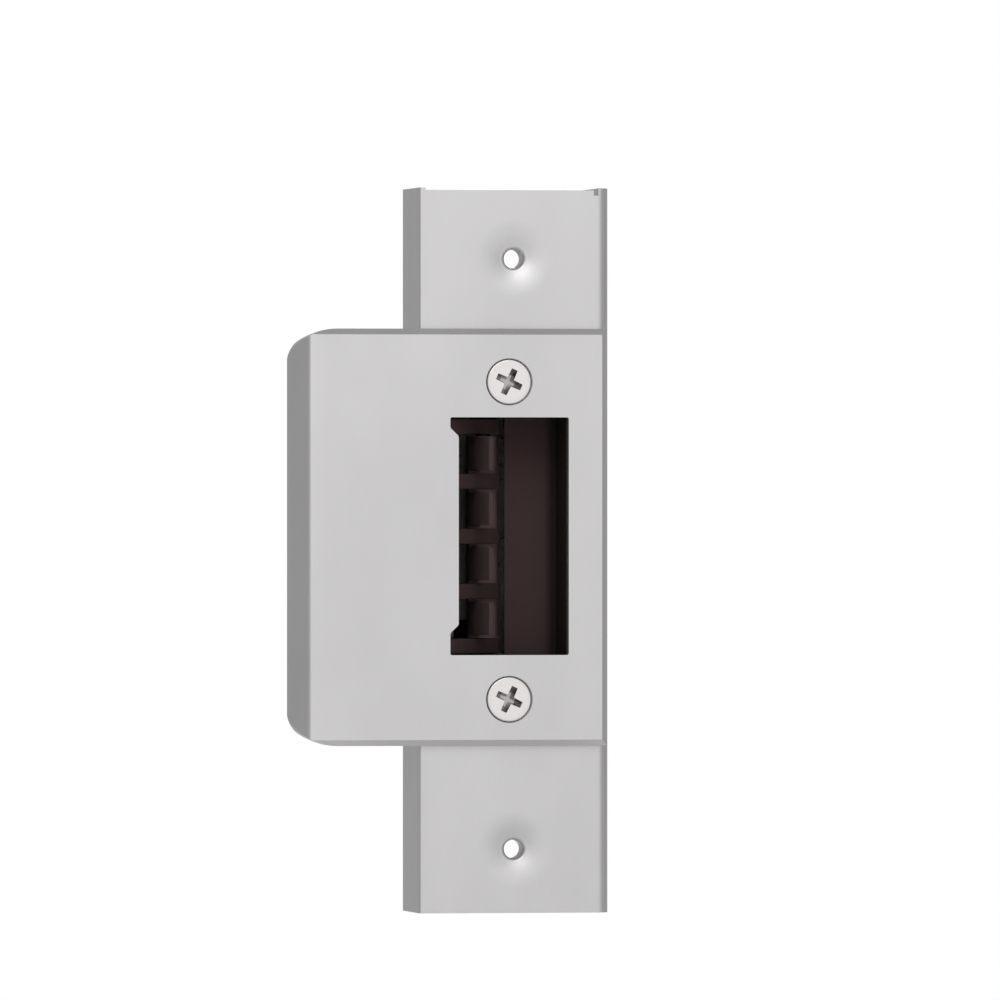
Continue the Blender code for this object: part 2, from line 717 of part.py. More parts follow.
def make_ramp_block():
    levels = rib_levels()
    outline = [
        (LINER_LEFT, RAMP_FOOT[1]),
        RAMP_FOOT,
        RAMP_END,
        (RAMP_END[0], RAMP_BACK),
        (SPINE_RIGHT, RAMP_BACK),
        (SPINE_RIGHT, SPINE_BACK),
        (LINER_LEFT, SPINE_BACK),
    ]
    block = prism("ramp_block", "Z", outline, levels[0][0], levels[-1][1], "dark_bronze")
    left = LINER_LEFT - CUT
    right = RAMP_END[0] + CUT
    front = RAMP_FOOT[1] - CUT
    back = SPINE_BACK + CUT
    slot = [
        (left, front),
        (right, front),
        (right, back),
        (SPINE_RIGHT, back),
        (SPINE_RIGHT, RAMP_END[1]),
        (left, RAMP_END[1]),
    ]
    for n, (below, above) in enumerate(zip(levels, levels[1:])):
        cut(block, prism("cut_ramp_slot_" + str(n + 1), "Z", slot, below[1], above[0]))


def make_keeper():
    x, y = KEEPER_PIVOT
    outline = [(FINGER_FACE, FINGER_TIP)]
    outline += arc(KEEPER_PIVOT, HUB_RADIUS, HUB_RADIUS, -112.6, 150, 16)
    outline += [(FINGER_BACK, 14.6), (FINGER_BACK, 1.6), (-4.3, FINGER_TIP)]
    keeper = prism("keeper", "Z", outline, KEEPER_BOTTOM, KEEPER_TOP, "dark_bronze")
    tail_width = (x - TAIL_HALF_WIDTH, x + TAIL_HALF_WIDTH)
    tail = box("add_keeper_tail", tail_width, (y + 1.9, TAIL_END), (TAIL_BOTTOM, TAIL_TOP))
    join(keeper, tail)
    levels = rib_levels()
    gaps = [(low - RIB_GAP, high + RIB_GAP) for low, high in levels]
    gaps[0] = (KEEPER_BOTTOM - CUT, gaps[0][1])
    gaps[-1] = (gaps[-1][0], KEEPER_TOP + CUT)
    for n, (low, high) in enumerate(gaps):
        cut(keeper, box("cut_keeper_gap_" + str(n + 1), (-8, -1), (-3, 12.36), (low, high)))
    bore = cylinder(
        "cut_keeper_bore",
        "Z",
        KEEPER_PIVOT,
        PIN_RADIUS + BORE_GAP,
        KEEPER_BOTTOM - CUT,
        KEEPER_TOP + CUT,
    )
    cut(keeper, bore)
    set_origin(keeper, (x, y, 0))


def make_keeper_pin():
    low = LOWER_PARTITION[0] + 0.2
    high = UPPER_PARTITION[1] + 1.4
    chamfer = 0.3
    profile = [
        (0, low),
        (PIN_RADIUS - chamfer, low),
        (PIN_RADIUS, low + chamfer),
        (PIN_RADIUS, high - chamfer),
        (PIN_RADIUS - chamfer, high),
        (0, high),
    ]
    turned("keeper_pivot_pin", "Z", KEEPER_PIVOT, profile, "plated_steel")
    clip_low = UPPER_PARTITION[1] + GAP
    outline = arc(KEEPER_PIVOT, 2.0, 2.0, 115, 425, 16)
    outline += arc(KEEPER_PIVOT, 1.55, 1.55, 425, 115, 16)
    prism("pivot_pin_clip", "Z", outline, clip_low, clip_low + 0.6, "spring_steel")


def spring_path(centre, radius, low, high, turns, per_turn):
    """Points of a helix about a vertical axis."""
    points = []
    total = int(turns * per_turn)
    for step in range(total + 1):
        angle = math.tau * step / per_turn
        x = centre[0] + radius * math.cos(angle)
        y = centre[1] + radius * math.sin(angle)
        z = low + (high - low) * step / total
        points.append(Vector((x, y, z)) * MM)
    return points


def wire(name, points, radius, finish):
    """A round wire along a path, with closed ends."""
    curve = bpy.data.curves.new(name, "CURVE")
    curve.dimensions = "3D"
    curve.bevel_depth = radius * MM
    curve.bevel_resolution = 1
    curve.use_fill_caps = True
    curve.render_resolution_u = 0
    spline = curve.splines.new("POLY")
    spline.points.add(len(points) - 1)
    for control, point in zip(spline.points, points):
        control.co = (*point, 1.0)
    curve.materials.append(finish_material(finish, name))
    piece = bpy.data.objects.new(name, curve)
    bpy.context.collection.objects.link(piece)
    return piece


def make_springs():
    x, y = KEEPER_PIVOT
    radius = KEEPER_SPRING_RADIUS
    low, high = KEEPER_SPRING_Z
    coil = spring_path(KEEPER_PIVOT, radius, low, high, KEEPER_SPRING_TURNS, 12)
    fixed_leg = Vector((x + radius, y + KEEPER_SPRING_LEG, low)) * MM
    moving_leg = Vector((x - radius, y + KEEPER_SPRING_LEG, high)) * MM
    coil.insert(0, fixed_leg)
    coil.append(moving_leg)
    wire("keeper_return_spring", coil, KEEPER_SPRING_WIRE, "spring_steel")
    centre = (LEVER_MIDDLE, SOLENOID_Y)
    plunger_coil = spring_path(centre, PLUNGER_SPRING_RADIUS, *PLUNGER_SPRING_Z, 6, 12)
    wire("plunger_spring", plunger_coil, PLUNGER_SPRING_WIRE, "spring_steel")


def make_keeper_bumper():
    box("keeper_bumper", BUMPER_X, BUMPER_Y, BUMPER_Z, "rubber_black")


def make_locking_lever():
    y, z = LEVER_PIVOT
    hub = LEVER_HUB_RADIUS
    slot_radius = LINK_PIN_RADIUS + BORE_GAP
    nose = [
        (LEVER_NOSE_X[1], -LEVER_ARM_HALF),
        (LEVER_NOSE_X[1], LEVER_NOSE_TOP),
        (LEVER_NOSE_X[0], LEVER_NOSE_TOP),
        (LEVER_NOSE_X[0], LEVER_ARM_HALF),
    ]
    outline = arc((LEVER_ARM_END, 0), hub, hub, 90, 270, 8)
    outline += arc((0, 0), hub, hub, 235, 285, 3)
    outline += [turn(point, -LEVER_SWING) for point in nose]
    outline += arc((0, 0), hub, hub, 40, 120, 5)
    outline = [(y + a, z + b) for a, b in outline]
    half = LEVER_THICKNESS / 2
    width = (LEVER_MIDDLE - half, LEVER_MIDDLE + half)
    lever = prism("locking_lever", "X", outline, *width, "plated_steel")
    slot = arc((y + LEVER_ARM_END, z), slot_radius, slot_radius, 90, 270, 8)
    slot += arc((y + LEVER_SLOT_START, z), slot_radius, slot_radius, 270, 450, 8)
    cut_range = (width[0] - CUT, width[1] + CUT)
    cut(lever, prism("cut_lever_slot", "X", slot, *cut_range))
    hole_radius = LEVER_PIN_RADIUS + BORE_GAP
    cut(lever, cylinder("cut_lever_bore", "X", LEVER_PIVOT, hole_radius, *cut_range))
    set_origin(lever, (LEVER_MIDDLE, y, z))
    pin_reach = CASE_HALF_WIDTH - 0.2
    reach = (-pin_reach, pin_reach)
    cylinder("lever_pivot_pin", "X", LEVER_PIVOT, LEVER_PIN_RADIUS, *reach, "plated_steel", 16)
    inner = CASE_HALF_WIDTH - CASE_WALL - GAP
    spans = {"left": (-inner, width[0] - GAP), "right": (width[1] + GAP, inner)}
    for side, span in spans.items():
        ring("lever_spacer_" + side, "X", LEVER_PIVOT, 1.3, 1.8, *span, "nylon_white", SMALL_STEPS)


def make_solenoid():
    centre = (LEVER_MIDDLE, SOLENOID_Y)
    inner_bottom = FRAME_BOTTOM + FRAME_SHEET
    inner_top = FRAME_TOP - FRAME_SHEET
    inner_back = FRAME_BACK - FRAME_SHEET
    outline = [
        (FRAME_FRONT, FRAME_BOTTOM),
        (FRAME_BACK, FRAME_BOTTOM),
        (FRAME_BACK, FRAME_TOP),
        (FRAME_FRONT, FRAME_TOP),
        (FRAME_FRONT, inner_top),
        (inner_back, inner_top),
        (inner_back, inner_bottom),
        (FRAME_FRONT, inner_bottom),
    ]
    width = (LEVER_MIDDLE - FRAME_HALF_WIDTH, LEVER_MIDDLE + FRAME_HALF_WIDTH)
    frame = prism("solenoid_frame", "X", outline, *width, "plated_steel")
    cut(frame, cylinder("cut_frame_top", "Z", centre, 3.1, inner_top - CUT, FRAME_TOP + CUT))
    cut(frame, cylinder("cut_frame_pole", "Z", centre, 1.8, FRAME_BOTTOM - CUT, inner_bottom + CUT))
    for side, x in solenoid_screw_places().items():
        screw_centre = (x, SOLENOID_Y)
        hole_range = (FRAME_BOTTOM - CUT, inner_bottom + CUT)
        hole = cylinder(
            "cut_frame_" + side, "Z", screw_centre, SCREW_HOLE_RADIUS, *hole_range, None, HOLE_STEPS
        )
        cut(frame, hole)
        seat = CASE_BOTTOM - GAP
        make_pan_screw("solenoid_screw_" + side, "Z", screw_centre, seat, -1, 2.0, 1.0, 3.3)
    bobbin_low = inner_bottom + GAP
    bobbin_high = inner_top - GAP
    coil_low = bobbin_low + BOBBIN_FLANGE
    coil_high = bobbin_high - BOBBIN_FLANGE
    profile = [
        (BOBBIN_BORE, bobbin_low),
        (BOBBIN_FLANGE_RADIUS, bobbin_low),
        (BOBBIN_FLANGE_RADIUS, coil_low),
        (BOBBIN_CORE, coil_low),
        (BOBBIN_CORE, coil_high),
        (BOBBIN_FLANGE_RADIUS, coil_high),
        (BOBBIN_FLANGE_RADIUS, bobbin_high),
        (BOBBIN_BORE, bobbin_high),
    ]
    turned("solenoid_bobbin", "Z", centre, profile, "nylon_white")
    coil_range = (coil_low + GAP, coil_high - GAP)
    ring("solenoid_coil", "Z", centre, COIL_INNER, COIL_OUTER, *coil_range, "copper_wire")
    pole_profile = [
        (0, FRAME_BOTTOM),
        (POLE_STEM, FRAME_BOTTOM),
        (POLE_STEM, bobbin_low),
        (PLUNGER_RADIUS, bobbin_low),
        (PLUNGER_RADIUS, POLE_TOP),
        (0, POLE_TOP),
    ]
    turned("pole_piece", "Z", centre, pole_profile, "plated_steel")


def make_plunger():
    centre = (LEVER_MIDDLE, SOLENOID_Y)
    link_z = LEVER_PIVOT[1]
    profile = [
        (0, PLUNGER_TOP),
        (PLUNGER_RADIUS - 0.4, PLUNGER_TOP),
        (PLUNGER_RADIUS, PLUNGER_TOP - 0.4),
        (PLUNGER_RADIUS, PLUNGER_BOTTOM),
        (SPRING_BORE_RADIUS, PLUNGER_BOTTOM),
        (SPRING_BORE_RADIUS, SPRING_BORE_TOP),
        (0, SPRING_BORE_TOP),
    ]
    plunger = turned("solenoid_plunger", "Z", centre, profile, "plated_steel")
    half = LEVER_THICKNESS / 2 + GAP
    width = (LEVER_MIDDLE - half, LEVER_MIDDLE + half)
    fork_range = (link_z - 2.8, PLUNGER_TOP + CUT)
    fork = box("cut_plunger_fork", width, (SOLENOID_Y - 4, SOLENOID_Y + 4), fork_range)
    link_centre = (SOLENOID_Y, link_z)
    link_range = (LEVER_MIDDLE - 4, LEVER_MIDDLE + 4)
    hole = cylinder("cut_plunger_link", "X", link_centre, 1.1, *link_range, None, SMALL_STEPS)
    cut(plunger, fork, hole)
    pin_range = (LEVER_MIDDLE - 2.6, LEVER_MIDDLE + 2.6)
    cylinder(
        "plunger_link_pin", "X", link_centre, LINK_PIN_RADIUS, *pin_range, "plated_steel", SMALL_STEPS
    )


def make_board():
    depth = (BOARD_FRONT, BOARD_FRONT + BOARD_THICKNESS)
    width = (-BOARD_HALF_WIDTH, BOARD_HALF_WIDTH)
    board = box("circuit_board", width, depth, (BOARD_BOTTOM, BOARD_TOP), "board_green")
    for side, x in (("left", -BOARD_SCREW_X), ("right", BOARD_SCREW_X)):
        centre = (x, BOARD_SCREW_Z)
        hole_range = (depth[0] - CUT, depth[1] + CUT)
        hole = cylinder(
            "cut_board_" + side, "Y", centre, BOARD_POST_HOLE, *hole_range, None, HOLE_STEPS
        )
        cut(board, hole)
        make_pan_screw("board_screw_" + side, "Y", centre, depth[1] + 0.2, 1, 1.3, 0.7, 6.0)
    reach = (-DIODE_HALF_LENGTH, DIODE_HALF_LENGTH)
    cylinder(
        "suppression_diode", "X", DIODE_CENTRE, DIODE_RADIUS, *reach, "diode_black", SMALL_STEPS
    )


def make_terminal_block():
    front = BOARD_FRONT + BOARD_THICKNESS + GAP
    width = (-TERMINAL_HALF_WIDTH, TERMINAL_HALF_WIDTH)
    height = (TERMINAL_BOTTOM, TERMINAL_TOP)
    block = box("terminal_block", width, (front, TERMINAL_BACK), height, "terminal_green")
    for side, x in (("left", -TERMINAL_SCREW_X), ("right", TERMINAL_SCREW_X)):
        centre = (x, TERMINAL_SCREW_Z)
        well_range = (TERMINAL_WELL_FLOOR, TERMINAL_BACK + CUT)
        well = cylinder(
            "cut_terminal_well_" + side, "Y", centre, TERMINAL_WELL_RADIUS, *well_range
        )
        entry_width = (x - TERMINAL_ENTRY_HALF_WIDTH, x + TERMINAL_ENTRY_HALF_WIDTH)
        entry_range = (TERMINAL_WELL_FLOOR + 0.5, TERMINAL_BACK + CUT)
        entry = box("cut_terminal_entry_" + side, entry_width, entry_range, TERMINAL_ENTRY_Z)
        cut(block, well, entry)
        profile = [(0, 22.9), (1.0, 22.9), (1.0, 24.6), (1.4, 24.6), (1.4, 26.0), (0, 26.0)]
        screw = turned("terminal_screw_" + side, "Y", centre, profile, "brass", SMALL_STEPS)
        slot_height = (TERMINAL_SCREW_Z - 0.2, TERMINAL_SCREW_Z + 0.2)
        slot = box("cut_terminal_slot_" + side, (x - 3, x + 3), (25.4, 27.0), slot_height)
        cut(screw, slot)


def main():
    clear_scene()
    make_mounting_channel()
    make_lip_plate()
    make_face_screws()
    make_housing()
    make_rear_cover()
    make_pocket_liner()
    make_ramp_block()
    make_keeper()
    make_keeper_pin()
    make_springs()
    make_keeper_bumper()
    make_locking_lever()
    make_solenoid()
    make_plunger()
    make_board()
    make_terminal_block()


main()
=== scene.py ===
"""Looks of the electric door strike: finer sheet-metal pieces, finishes, light and camera.

The CAD solids stay where they are. The channel, the lip plate, the two face screws and the
plunger's spring are replaced with finer meshes inside the same boxes. Every other node keeps
its shape and gets a finish, and all but the springs get softened edges. Lengths below are in
millimetres unless a comment says otherwise.
"""
import json
import math

import bmesh
import bpy
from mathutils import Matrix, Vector


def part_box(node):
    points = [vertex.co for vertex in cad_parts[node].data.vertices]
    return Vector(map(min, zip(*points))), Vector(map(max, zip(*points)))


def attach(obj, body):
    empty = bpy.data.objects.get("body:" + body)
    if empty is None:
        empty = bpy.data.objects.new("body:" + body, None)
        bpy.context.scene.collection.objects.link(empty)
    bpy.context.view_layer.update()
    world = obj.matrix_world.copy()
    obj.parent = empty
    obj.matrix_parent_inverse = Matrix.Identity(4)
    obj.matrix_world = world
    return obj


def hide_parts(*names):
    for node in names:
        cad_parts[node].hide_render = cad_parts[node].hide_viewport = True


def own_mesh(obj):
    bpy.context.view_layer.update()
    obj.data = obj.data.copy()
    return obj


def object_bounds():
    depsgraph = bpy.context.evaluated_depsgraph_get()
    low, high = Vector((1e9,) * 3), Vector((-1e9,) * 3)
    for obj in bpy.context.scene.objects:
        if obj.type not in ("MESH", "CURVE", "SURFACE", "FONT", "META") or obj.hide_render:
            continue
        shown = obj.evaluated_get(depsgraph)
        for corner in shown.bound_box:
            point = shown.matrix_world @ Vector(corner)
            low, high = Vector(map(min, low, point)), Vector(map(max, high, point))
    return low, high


MM = 0.001
CUT = 1.0

# Channel sheet
SHEET = 1.6
LEFT_BEND_RADIUS = 0.5
RIGHT_BEND_RADIUS = 2.1
INNER_BEND_RADIUS = 0.3
DIMPLE_RADIUS = 6.8
DIMPLE_DEPTH = 0.6
DIMPLE_POWER = 2.0
DIMPLE_STEPS = 20
THROAT_RADIUS = 2.4
THROAT_ROUND = 0.7
TAB_HOLE_RADIUS = 1.6
COLLAR_RADIUS = 2.9
COLLAR_FOOT = 1.2
COLLAR_RIM = 0.2
COLLAR_END = 3.3
TAB_HOLE_HEIGHTS = {"upper": 49.8, "lower": -51.0}
CHANNEL_WINDOW = ((-12.2, 10.4), (-19.2, 24.0))
TRIM = 0.4
TRIM_LEFT = -15.4
RELIEF_X = (13.8, 14.6)
RELIEF_DEPTH = 1.3

# Lip plate
END_CHAMFER = 1.0
SIDE_CHAMFER = 0.8
LIP_ANGLE = math.radians(55)
LIP_BEND_LINE = -36.0
PLATE_THICKNESS = 2.2
ROLL_ANGLE = math.radians(5)
ROLL_RADIUS = 30.0
ROLL_STEPS = 8
CREASE_RADIUS = 1.15
CREASE_STEPS = 8
LIP_EDGE_RADIUS = 0.75
LIP_EDGE_STEPS = 6
LIP_EDGE_CHAMFER = 0.3
INNER_ROUND = 0.6
INNER_ROUND_STEPS = (0.0, 0.35, 0.65, 1.0)
LIP_CORNER_START = -30.8
LIP_CORNER_WIDTH = 8.2
LIP_CORNER_HEIGHT = 6.1

# Latch opening in the lip plate
POCKET_LEFT = -11.5
POCKET_RIGHT = 9.0
POCKET_BOTTOM = -17.85
POCKET_TOP = 22.7
TONGUE_EDGE = -10.05
TONGUE_BOTTOM = -12.7
TONGUE_TOP = 19.5
TONGUE_CHAMFER = 1.4
POCKET_CORNER = 0.35

# Face screws
HEAD_RADIUS = 3.8
SHANK_RADIUS = 2.0
SCREW_CLEARANCE = 0.24
SINK_WALL = 0.2
RECESS_TURN = math.radians(-25)
HEAD_RIM = 0.22
RECESS_START = 0.04
RECESS_DEPTH = 2.3
# A recess outline's reach, half the width of an arm's end, and half that of its waist
RECESS_MOUTH = (2.3, 0.52, 0.60)
RECESS_BOTTOM = (1.3, 0.26, 0.34)
THREAD_PITCH = 0.8
THREAD_DEPTH = 0.3

# Plunger spring
SPRING_WIRE = 0.22
SPRING_TURNS = 7
SPRING_STEPS = 32
SPRING_SIDES = 12
SPRING_END_PITCH = 0.7

# Steps in a full turn, and cosines of the angles between faces that count as flat or smooth
FINE_STEPS = 72
FLAT_LIMIT = math.cos(math.radians(0.3))
SMOOTH_LIMIT = math.cos(math.radians(50))

# Where painted light and shade change a finish's colour: painted shade below the screws' face,
# painted light along the keeper, painted shade across the liner
SCREW_FACE = -4.05
SCREW_PAINTED_SHADE_DEPTH = 0.35
KEEPER_TIP = -1.2
KEEPER_HUB = 11.0
LINER_FLOOR_EDGE = 7.2
LINER_WALL = 8.6

# Camera, as the object was seen: a long lens from a little to the left. The view's width and
# the floor's drop and size are in metres.
CAMERA_AZIMUTH = math.radians(-10)
CAMERA_TARGET = Vector((-2.2, 0.0, 8.6)) * MM
CAMERA_LENS = 500.0
CAMERA_SENSOR = 36.0
VIEW_WIDTH = 0.1708
FLOOR_DROP = 0.09
FLOOR_SIZE = 0.7

# Studio: its brightness in front, to the sides and behind the object, and the bright
# part's edges to the right, to the left, above and below
FRONT_LIGHT = 1.02
SIDE_LIGHT = 0.46
BACKGROUND = 1.0
BRIGHT_FROM = math.radians(-30)
BRIGHT_TO = math.radians(42)
BRIGHT_ABOVE = math.radians(50)
BRIGHT_BELOW = math.radians(36)
LIGHT_SOFTNESS = 0.18

# Lamps: name, place, target and size in metres, and power in watts
LAMPS = (
    ("key", (-0.32, -0.75, 0.42), (0, 0, 0.02), (0.4, 0.4), 0.5),
    ("upper_glow", (-0.10, -0.50, 0.38), (0, 0, 0.05), (0.5, 0.3), 0.6),
    ("back_fill", (0.4, 0.8, 0.5), (0, 0.01, 0), (0.6, 0.6), 6.0),
)


# ---------------------------------------------------------------- mesh helpers


def place(axis, first, second, along):
    """A point in metres from its two cross coordinates and its coordinate along the axis."""
    if axis == "X":
        return Vector((along, first, second)) * MM
    if axis == "Y":
        return Vector((first, along, second)) * MM
    return Vector((first, second, along)) * MM


def new_piece(name, bm):
    bmesh.ops.recalc_face_normals(bm, faces=bm.faces[:])
    mesh = bpy.data.meshes.new(name)
    bm.to_mesh(mesh)
    bm.free()
    piece = bpy.data.objects.new(name, mesh)
    bpy.context.scene.collection.objects.link(piece)
    return piece


def loft(name, axis, sections):
    """Skin a stack of equal outlines, each given with its height, and close both ends."""
    bm = bmesh.new()
    loops = []
    for outline, height in sections:
        loops.append([bm.verts.new(place(axis, a, b, height)) for a, b in outline])
    count = len(loops[0])
    for lower, upper in zip(loops, loops[1:]):
        for n in range(count):
            following = (n + 1) % count
            bm.faces.new((lower[n], lower[following], upper[following], upper[n]))
    bm.faces.new(loops[0])
    bm.faces.new(loops[-1])
    return new_piece(name, bm)


def prism(name, axis, outline, low, high):
    return loft(name, axis, [(outline, low), (outline, high)])


def box(name, x_range, y_range, z_range):
    outline = [
        (x_range[0], y_range[0]),
        (x_range[1], y_range[0]),
        (x_range[1], y_range[1]),
        (x_range[0], y_range[1]),
    ]
    return prism(name, "Z", outline, z_range[0], z_range[1])


def turned(name, axis, centre, profile, steps=FINE_STEPS):
    """Spin a profile of (radius, height) points round an axis."""
    bm = bmesh.new()
    points = [bm.verts.new(place(axis, centre[0] + r, centre[1], h)) for r, h in profile]
    edges = [bm.edges.new(pair) for pair in zip(points, points[1:])]
    bmesh.ops.spin(
        bm,
        geom=points + edges,
        cent=place(axis, centre[0], centre[1], 0),
        axis=place(axis, 0, 0, 1).normalized(),
        angle=math.tau,
        steps=steps,
        use_duplicate=False,
    )
    bmesh.ops.remove_doubles(bm, verts=bm.verts[:], dist=1e-6)
    return new_piece(name, bm)


def arc(centre, radius_x, radius_y, start, end, steps):
    """Points along a stretch of an ellipse, from one angle to another, in degrees."""
    points = []
    for step in range(steps + 1):
        angle = math.radians(start + (end - start) * step / steps)
        x = centre[0] + radius_x * math.cos(angle)
        y = centre[1] + radius_y * math.sin(angle)
        points.append((x, y))
    return points


def rounded(outline, radius, steps=4):
    """The outline with each corner turned into a short curve."""
    points = []
    count = len(outline)
    for n in range(count):
        before = Vector(outline[n - 1])
        corner = Vector(outline[n])
        after = Vector(outline[(n + 1) % count])
        to_before = (before - corner).normalized() * radius
        to_after = (after - corner).normalized() * radius
        for step in range(steps + 1):
            t = step / steps
            offset = to_before * (1 - t) ** 2 + to_after * t**2
            points.append(tuple(corner + offset))
    return points


def combine(piece, others, operation):
    for other in others:
        modifier = piece.modifiers.new(other.name, "BOOLEAN")
        modifier.operation = operation
        modifier.solver = "EXACT"
        modifier.object = other


def settle(piece):
    """Turn a piece's modifiers into its mesh, and remove what cut it or was added to it."""
    helpers = [m.object for m in piece.modifiers if m.type == "BOOLEAN"]
    graph = bpy.context.evaluated_depsgraph_get()
    finished = bpy.data.meshes.new_from_object(piece.evaluated_get(graph))
    piece.modifiers.clear()
    piece.data = finished
    for helper in helpers:
        bpy.data.objects.remove(helper, do_unlink=True)


def round_edges(piece, width, segments=3, angle=30):
    """Round a piece's sharp edges a little."""
    bevel = piece.modifiers.new("edge_round", "BEVEL")
    bevel.width = width * MM
    bevel.segments = segments
    bevel.limit_method = "ANGLE"
    bevel.angle_limit = math.radians(angle)


def stretch_areas(bm):
    """For each face, the area in square millimetres of the flat stretch it is part of."""
    areas = {}
    for seed in bm.faces:
        if seed.index in areas:
            continue
        stretch = {seed}
        waiting = [seed]
        while waiting:
            for edge in waiting.pop().edges:
                for near in edge.link_faces:
                    level = near.normal.dot(seed.normal) > FLAT_LIMIT
                    if level and near not in stretch and near.index not in areas:
                        stretch.add(near)
                        waiting.append(near)
        total = sum(face.calc_area() for face in stretch) / MM**2
        for face in stretch:
            areas[face.index] = total
    return areas


def shade(piece):
    """Settle a piece and shade it smooth, each corner following the larger flat stretch."""
    settle(piece)
    bm = bmesh.new()
    bm.from_mesh(piece.data)
    areas = stretch_areas(bm)
    normals = []
    for face in bm.faces:
        for loop in face.loops:
            total = Vector()
            for near in loop.vert.link_faces:
                if near.normal.dot(face.normal) > SMOOTH_LIMIT:
                    total += near.normal * areas[near.index] ** 3
            normals.append(total.normalized() if total.length > 0 else face.normal.copy())
    bm.free()
    for polygon in piece.data.polygons:
        polygon.use_smooth = True
    piece.data.normals_split_custom_set(normals)


def soften_node(node, width, segments=2):
    """Round the edges of a CAD node with modifiers only. Its own mesh isn't touched."""
    weld = node.modifiers.new("weld", "WELD")
    weld.merge_threshold = 0.000002
    flats = node.modifiers.new("join_flats", "DECIMATE")
    flats.decimate_type = "DISSOLVE"
    flats.angle_limit = math.radians(1.0)
    round_edges(node, width, segments, 35)
    weighted = node.modifiers.new("flat_faces", "WEIGHTED_NORMAL")
    weighted.mode = "FACE_AREA"
    weighted.thresh = 0.0


# ---------------------------------------------------------------- finishes


class Finish:
    """Builds one procedural material around a Principled shader."""

    def __init__(self, name, colour, metallic, roughness):
        self.material = bpy.data.materials.new(name)
        self.material.use_nodes = True
        self.nodes = self.material.node_tree.nodes
        self.links = self.material.node_tree.links
        self.shader = self.nodes["Principled BSDF"]
        self.colour = colour
        self.roughness = roughness
        self.shader.inputs["Base Color"].default_value = (*colour, 1.0)
        self.shader.inputs["Metallic"].default_value = metallic
        self.shader.inputs["Roughness"].default_value = roughness
        self.height = None
        coordinates = self.nodes.new("ShaderNodeTexCoord")
        self.position = coordinates.outputs["Object"]

    def noise(self, scale, detail=3.0, stretch=(1, 1, 1)):
        """Noise with its scale in features per metre, stretched along the axes."""
        mapping = self.nodes.new("ShaderNodeMapping")
        mapping.inputs["Scale"].default_value = stretch
        self.links.new(self.position, mapping.inputs["Vector"])
        texture = self.nodes.new("ShaderNodeTexNoise")
        texture.inputs["Scale"].default_value = scale
        texture.inputs["Detail"].default_value = detail
        self.links.new(mapping.outputs["Vector"], texture.inputs["Vector"])
        return texture.outputs["Fac"]

    def remap(self, value, low, high, to_low, to_high):
        node = self.nodes.new("ShaderNodeMapRange")
        node.inputs["From Min"].default_value = low
        node.inputs["From Max"].default_value = high
        node.inputs["To Min"].default_value = to_low
        node.inputs["To Max"].default_value = to_high
        self.links.new(value, node.inputs["Value"])
        return node.outputs["Result"]

    def tint(self, value, darker, lighter):
        """Colour that runs between two shades of the base as the value goes from 0 to 1."""
        ramp = self.nodes.new("ShaderNodeValToRGB")
        first, last = ramp.color_ramp.elements
        first.position = 0.3
        last.position = 0.7
        first.color = (*[c * darker for c in self.colour], 1.0)
        last.color = (*[min(c * lighter, 1.0) for c in self.colour], 1.0)
        self.links.new(value, ramp.inputs["Fac"])
        self.links.new(ramp.outputs["Color"], self.shader.inputs["Base Color"])

    def tint_along(self, axis, start, end, first, last):
        """Colour that changes along an axis, from one place in millimetres to another."""
        axes = self.nodes.new("ShaderNodeSeparateXYZ")
        self.links.new(self.position, axes.inputs["Vector"])
        self.tint(self.remap(axes.outputs[axis], start * MM, end * MM, 0.3, 0.7), first, last)

    def roughen(self, value, spread):
        low = self.roughness - spread
        high = self.roughness + spread
        self.links.new(self.remap(value, 0.3, 0.7, low, high), self.shader.inputs["Roughness"])

    def bump(self, value, depth, strength=1.0):
        """Add a layer of relief, its depth in metres."""
        node = self.nodes.new("ShaderNodeBump")
        node.inputs["Distance"].default_value = depth
        node.inputs["Strength"].default_value = strength
        self.links.new(value, node.inputs["Height"])
        if self.height is not None:
            self.links.new(self.height, node.inputs["Normal"])
        self.height = node.outputs["Normal"]
        self.links.new(self.height, self.shader.inputs["Normal"])

    def put_on(self, *pieces):
        for piece in pieces:
            piece.data.materials.clear()
            piece.data.materials.append(self.material)


def satin_steel():
    """Satin stainless sheet: a fine grain along its length and faint clouds."""
    finish = Finish("satin_steel", (0.60, 0.59, 0.595), 1.0, 0.40)
    clouds = finish.noise(60, 2.0, (1.0, 1.0, 0.6))
    grain = finish.noise(900, 4.0, (6.0, 6.0, 0.25))
    speckle = finish.noise(5200, 2.0)
    finish.tint(clouds, 0.965, 1.03)
    finish.roughen(grain, 0.04)
    finish.bump(grain, 0.0000025, 0.5)
    finish.bump(speckle, 0.0000015, 0.4)
    return finish


def screw_steel():
    """Bright turned stainless, darker below the head's face: painted shade for the cross recess
    and everything deeper.
    """
    finish = Finish("screw_steel", (0.76, 0.735, 0.73), 1.0, 0.30)
    # Painted shade: the colour falls to 0.62 of the steel from the head's face down into the
    # recess
    finish.tint_along("Y", SCREW_FACE, SCREW_FACE + SCREW_PAINTED_SHADE_DEPTH, 1.0, 0.62)
    finish.roughen(finish.noise(2200, 2.0), 0.06)
    finish.bump(finish.noise(3500, 2.0), 0.000003, 0.5)
    return finish


def dark_bronze(name="dark_bronze", colour=(0.060, 0.039, 0.038), painted_light_and_shade=None):
    """Dull dark brown paint with a fine orange peel, mottled, or with a painted light and shade
    ramp along an axis.
    """
    finish = Finish(name, colour, 0.0, 0.8)
    finish.shader.inputs["Specular IOR Level"].default_value = 0.15
    # Painted light and shade: a colour ramp along an axis, where one is given
    if painted_light_and_shade:
        finish.tint_along(*painted_light_and_shade)
    else:
        finish.tint(finish.noise(180, 3.0), 0.93, 1.08)
    finish.roughen(finish.noise(900, 2.0), 0.06)
    finish.bump(finish.noise(2600, 3.0), 0.00001, 0.5)
    return finish


